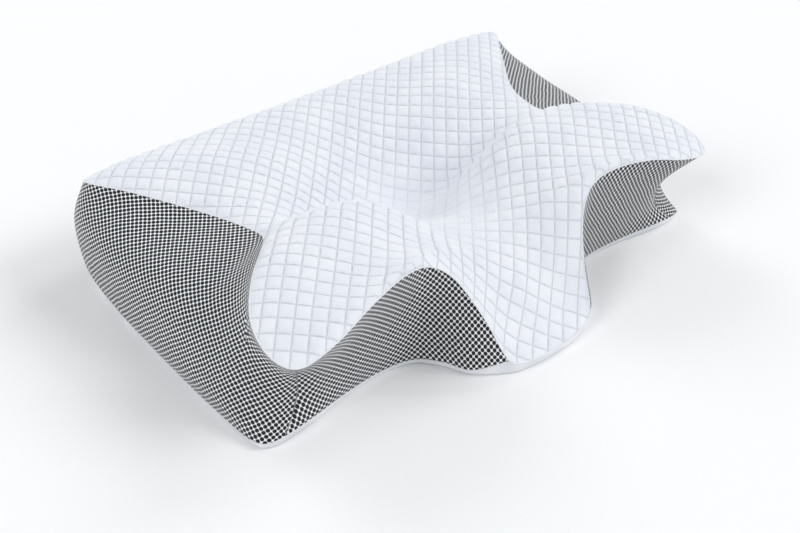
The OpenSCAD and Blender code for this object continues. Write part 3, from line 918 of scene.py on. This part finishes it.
def wall_piece(name, node, first, last, middle, side):
    """The mesh wall between two stations on one side."""
    rows = (half.places >= first - 1e-9) & (half.places <= last + 1e-9)
    grids = puffed([half.walls(d, WALL_STEPS)[rows] * np.array([side, 1, 1])
                    for d in FACES_D])
    start = int(np.argmin(abs(half.places[rows] - middle)))
    return mesh_piece(name, node, grids,
                      knit_uv(name, wall_lay(grids[0], 2 * WALL_STEPS, start)))


def rear_piece(name, node, from_row, to_row, zip_edge):
    """A strip of the back wall, drawn together with the other past the zip's ends."""
    rows = half.places <= REAR_SEAM + 1e-9
    grids = []
    for d in FACES_D:
        half_grid = half.walls(d, WALL_STEPS)[rows][:, from_row:to_row + 1]
        grid = np.concatenate([half_grid[:0:-1] * MIRROR, half_grid])
        past = eased((abs(grid[:, :1, 0]) - ZIP_END) / ZIP_CLOSE)
        near = np.clip(1 - abs(grid[..., 2] - grid[:, [zip_edge], 2]) / ZIP_CLOSE, 0, 1)
        grid[..., 2] += past * near * (ZIP_Z - grid[:, [zip_edge], 2])
        grids.append(grid)
    return mesh_piece(name, node, grids, wall_lay(grids[0], 0, len(grids[0]) // 2))


SIDES = (1, "right"), (-1, "left")
# The stations from which the knit of a side and of a gusset is laid
SIDE_START, GUSSET_START = 8, 16
for side, word in SIDES:
    wall_piece(f"{word}_side_mesh", f"{word}_side_panel",
                                       REAR_SEAM, CORNER_SEAM, SIDE_START, side)
    wall_piece(f"{word}_gusset_mesh", f"{word}_front_gusset",
                                         CORNER_SEAM, LIP_CORNER, GUSSET_START, side)
rear_piece("rear_upper_mesh", "rear_panel_upper", 0, WALL_STEPS, -1)
rear_piece("rear_lower_mesh", "rear_panel_lower",
                                 2 * WALL_STEPS, 3 * WALL_STEPS, 0)


# ---- the underside ------------------------------------------------------------
RIM_STEPS = 5


def base_disc(part, d):
    """The flat underside, d up, and its turned-up rim."""
    wall = part.walls(d, 2)
    lip = part.places > LIP_CORNER + 1e-9
    seam = np.where(lip[:, None], wall[:, 0], wall[:, -1])
    flat = seam - BASE_INSET * outward(seam)
    flat[:, 2] = d
    centre = np.column_stack([0 * part.foot, FOOT_SHARE * part.foot, 0 * part.foot + d])
    rings = [ring(centre + (flat - centre) * v) for v in (0.3, 0.55, 0.75, 0.9, 0.97, 1.0)]
    for k in range(1, RIM_STEPS + 1):
        turn = math.pi / 2 * k / RIM_STEPS
        share = np.array([math.sin(turn), math.sin(turn), 1 - math.cos(turn)])
        rings.append(ring(flat + (seam - flat) * share))
    return centre, rings


def flat_piece(name, upper, lower, material, slot):
    """A cloth between two discs; its UV map is its plan in metres."""
    points, faces = between_discs(upper, lower)
    return make_object(name, points, faces, material, points[:, :2])


bottom = flat_piece("bottom_cloth", base_disc(half, COVER_T), base_disc(half, 0.0),
                    BASE, "base_fabric")
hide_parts("bottom_panel")


# ---- seams --------------------------------------------------------------------
TOP_SEAM_R, BOTTOM_SEAM_R, CORNER_SEAM_R = 0.75 * MM, 0.6 * MM, 0.5 * MM
SEAM_OUT, SEAM_SIDES, SEAM_SQUEEZE = 0.2 * MM, 8, 0.9


def bead(name, path, radius, closed, material):
    """A sewn edge along a seam."""
    points, faces = tube(path, radius, SEAM_SIDES, closed, SEAM_SQUEEZE)
    step = float(np.linalg.norm(np.diff(path, axis=0), axis=1).mean())
    along = np.repeat(np.arange(len(path)) * step, SEAM_SIDES)
    around = np.tile(np.arange(SEAM_SIDES) / SEAM_SIDES, len(path))
    return make_object(name, points, faces, material,
                       np.column_stack([along, around]), sharp=80)


edge = ring(half.seams[0] + SEAM_OUT * outward(half.seams[0]))
bead("top_seam_edge", edge, TOP_SEAM_R, True, THREAD)
fine_walls = half.walls(0.0, WALL_STEPS)
under = (fine_walls[:, -1] + SEAM_OUT * outward(half.seams[3]))[half.places <= LIP_CORNER]
under = np.vstack([under[::-1], (under * MIRROR)[1:]])
bead("bottom_seam_edge", under, BOTTOM_SEAM_R, False, THREAD)
for side, word in SIDES:
    for place, what in ((REAR_SEAM, "rear"), (CORNER_SEAM, "front")):
        corner = fine_walls[int(np.argmin(abs(half.places - place)))]
        bead(f"{word}_{what}_corner_seam", corner * np.array([side, 1, 1]),
             CORNER_SEAM_R, False, SEWN)

# ---- liner and foam -----------------------------------------------------------
FOAM_RINGS, FOAM_WALL_STEPS = 30, 4
coarse = Half(half_places(COARSE))


def whole_disc(d):
    """The top and the walls, drawn in by d, as one disc."""
    centre, rows = top_disc(coarse, closing_shares(FOAM_RINGS), d)
    wall = coarse.walls(d, FOAM_WALL_STEPS, ZIP_ROOM)
    return centre, rows + [ring(wall[:, k]) for k in range(1, wall.shape[1])]


points, faces = between_discs(whole_disc(FOAM_D), base_disc(coarse, FOAM_D))
core = make_object("foam_block", points, faces, FOAM)
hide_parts("foam_core")
LINER_FACES = LINER_D, LINER_D + LINER_T
liner_up = flat_piece("liner_top_knit", *[whole_disc(d) for d in LINER_FACES],
                      LINER, "liner_knit")
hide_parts("liner_top")
liner_low = flat_piece("liner_bottom_knit",
                       *[base_disc(coarse, d) for d in LINER_FACES[::-1]],
                       LINER, "liner_knit")
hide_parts("liner_bottom")

# ---- zip ----------------------------------------------------------------------
ZIP_Y = 221.8 * MM
CLOSED_X, PARTED_X, PARTING = 205.4 * MM, 209.4 * MM, 1.9 * MM
COIL_W, COIL_T, ROW_GAP = 2.75 * MM, 2.4 * MM, 0.15 * MM
COIL_FIRST, COIL_LAST, COIL_PITCH = -211.1 * MM, 210.4 * MM, 1.35 * MM
WIRE_R, TURN_POINTS = 0.34 * MM, 12
TAPE_L, TAPE_W, TAPE_T, TAPE_EDGE = 460 * MM, 9 * MM, 0.6 * MM, 3.0 * MM


def parting(x):
    """How far a row stands off the middle line beyond the slider."""
    return PARTING * np.clip((x - CLOSED_X) / (PARTED_X - CLOSED_X), 0, 1)


def tape_piece(node, side):
    """One tape of the zip, which parts from the other beyond the slider."""
    x, h = np.meshgrid(np.linspace(-TAPE_L / 2, TAPE_L / 2, 184),
                       np.linspace(TAPE_EDGE, TAPE_EDGE + TAPE_W, 7), indexing="ij")
    z = ZIP_Z + side * (h + parting(x))
    points, faces = shell(*[np.stack([x, ZIP_Y + face * TAPE_T + 0 * x, z], 2)
                            for face in (0.5, -0.5)])
    uv = np.column_stack([points[:, 0], points[:, 2] - ZIP_Z])
    piece = make_object(f"{node}_weave", points, faces, TAPE, uv)
    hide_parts(node)
    return piece


def coil_piece(node, side):
    """One row of the zip: a flattened spiral of thread."""
    turns = int((COIL_LAST - COIL_FIRST - 2 * WIRE_R) / COIL_PITCH)
    angle = np.arange(turns * TURN_POINTS + 1) * 2 * math.pi / TURN_POINTS
    x = COIL_FIRST + WIRE_R + COIL_PITCH * angle / (2 * math.pi)
    swing = np.cos(angle + (0 if side > 0 else math.pi))
    h = ROW_GAP + COIL_W / 2 + (COIL_W / 2 - WIRE_R) * swing
    y = ZIP_Y + (COIL_T / 2 - WIRE_R) * np.sin(angle)
    path = np.column_stack([x, y, ZIP_Z + side * (h + parting(x))])
    points, faces = tube(path, WIRE_R, 5, False, up=(1, 0, 0))
    piece = make_object(f"{node}_spiral", points, faces, COIL, sharp=80)
    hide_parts(node)
    return piece


tapes = [tape_piece("zip_tape_upper", 1), tape_piece("zip_tape_lower", -1)]
coils = [coil_piece("zip_coil_upper", 1), coil_piece("zip_coil_lower", -1)]
for node in ("zip_slider", "zip_pull_tab", "zip_top_stops", "zip_bottom_stop"):
    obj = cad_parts[node]
    obj.data.materials.clear()
    obj.data.materials.append(METAL)

# ---- label --------------------------------------------------------------------
low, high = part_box("care_label")
LABEL_BOW, LABEL_RIPPLE, RIPPLES = 0.8 * MM, 0.2 * MM, 500
x, z = np.meshgrid(np.linspace(low.x, high.x, 24), np.linspace(low.z, high.z, 12),
                   indexing="ij")
bow = LABEL_BOW * np.sin(math.pi * (x - low.x) / (high.x - low.x)) ** 2
ripple = LABEL_RIPPLE * np.sin((z - low.z) * RIPPLES)
label_grids = [np.stack([x, low.y + lift + bow + ripple, z], 2) for lift in (TAPE_T, 0)]
points, faces = shell(*label_grids)
label = make_object("care_label_satin", points, faces, SATIN, points[:, [0, 2]])
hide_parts("care_label")

# ---- floor, light and camera --------------------------------------------------
# Level out to LEVEL_R, then swept up like a studio backdrop
LEVEL_R, SWEEP_R, SWEEP, UNDER = 7, 12, 0.16, 0.3 * MM
floor_mesh = bpy.data.meshes.new("floor")
turns = np.linspace(0, 2 * math.pi, 96, endpoint=False)
reach = np.linspace(LEVEL_R, SWEEP_R, 16)
floor_points = [(r * math.cos(a), r * math.sin(a), SWEEP * (r - LEVEL_R) ** 2)
                for a in turns for r in reach]
middle_face = tuple(k * len(reach) for k in range(len(turns)))
floor_faces = grid_faces(len(turns), len(reach), closed_rows=True) + [middle_face]
floor_mesh.from_pydata(floor_points, [], floor_faces)
floor_mesh.shade_smooth()
floor = bpy.data.objects.new("floor", floor_mesh)
bpy.context.scene.collection.objects.link(floor)
floor.location.z = -UNDER
paper = Tree("floor_paper", 0.9)
grain = paper.noise(paper.place(), 400.0)
paper.set("Base Color", paper.mix(grain, linear(240, 240, 240), linear(246, 246, 246)))
floor_mesh.materials.append(paper.material)

scene = bpy.context.scene
scene.view_settings.view_transform = "Standard"
world = bpy.data.worlds.new("studio")
world.use_nodes = True
sky = world.node_tree.nodes["Background"]
sky.inputs[0].default_value = (0.93, 0.96, 1.0, 1.0)
sky.inputs[1].default_value = 0.42
scene.world = world
LAMP_ANGLE = math.radians(28)


def soft_sun(name, place, strength):
    """Even light from a direction, with the soft shadows of a large lamp."""
    data = bpy.data.lights.new(name, "SUN")
    data.energy = strength
    data.angle = LAMP_ANGLE
    obj = bpy.data.objects.new(name, data)
    obj.location = place
    obj.rotation_euler = (-Vector(place)).to_track_quat("-Z", "Y").to_euler()
    scene.collection.objects.link(obj)


soft_sun("key", (1.15, -1.15, 1.25), 1.25)
soft_sun("right", (1.6, 0.0, 1.25), 0.61)
soft_sun("left", (-1.6, -0.1, 1.15), 0.99)
soft_sun("back", (0.0, 1.7, 1.25), 0.58)

AZIMUTH, ELEVATION, DISTANCE = math.radians(40.31), math.radians(36.18), 1.2262
TARGET = Vector((0.0066, 0.0285, -0.0320))
back = Vector((-math.sin(AZIMUTH) * math.cos(ELEVATION),
               -math.cos(AZIMUTH) * math.cos(ELEVATION), math.sin(ELEVATION)))
lens = bpy.data.cameras.new("camera")
lens.sensor_width = 36.0
lens.lens = 46.96
lens.clip_start = 0.01
camera = bpy.data.objects.new("camera", lens)
camera.location = TARGET + DISTANCE * back
camera.rotation_euler = (-back).to_track_quat("-Z", "Y").to_euler()
scene.collection.objects.link(camera)
scene.camera = camera
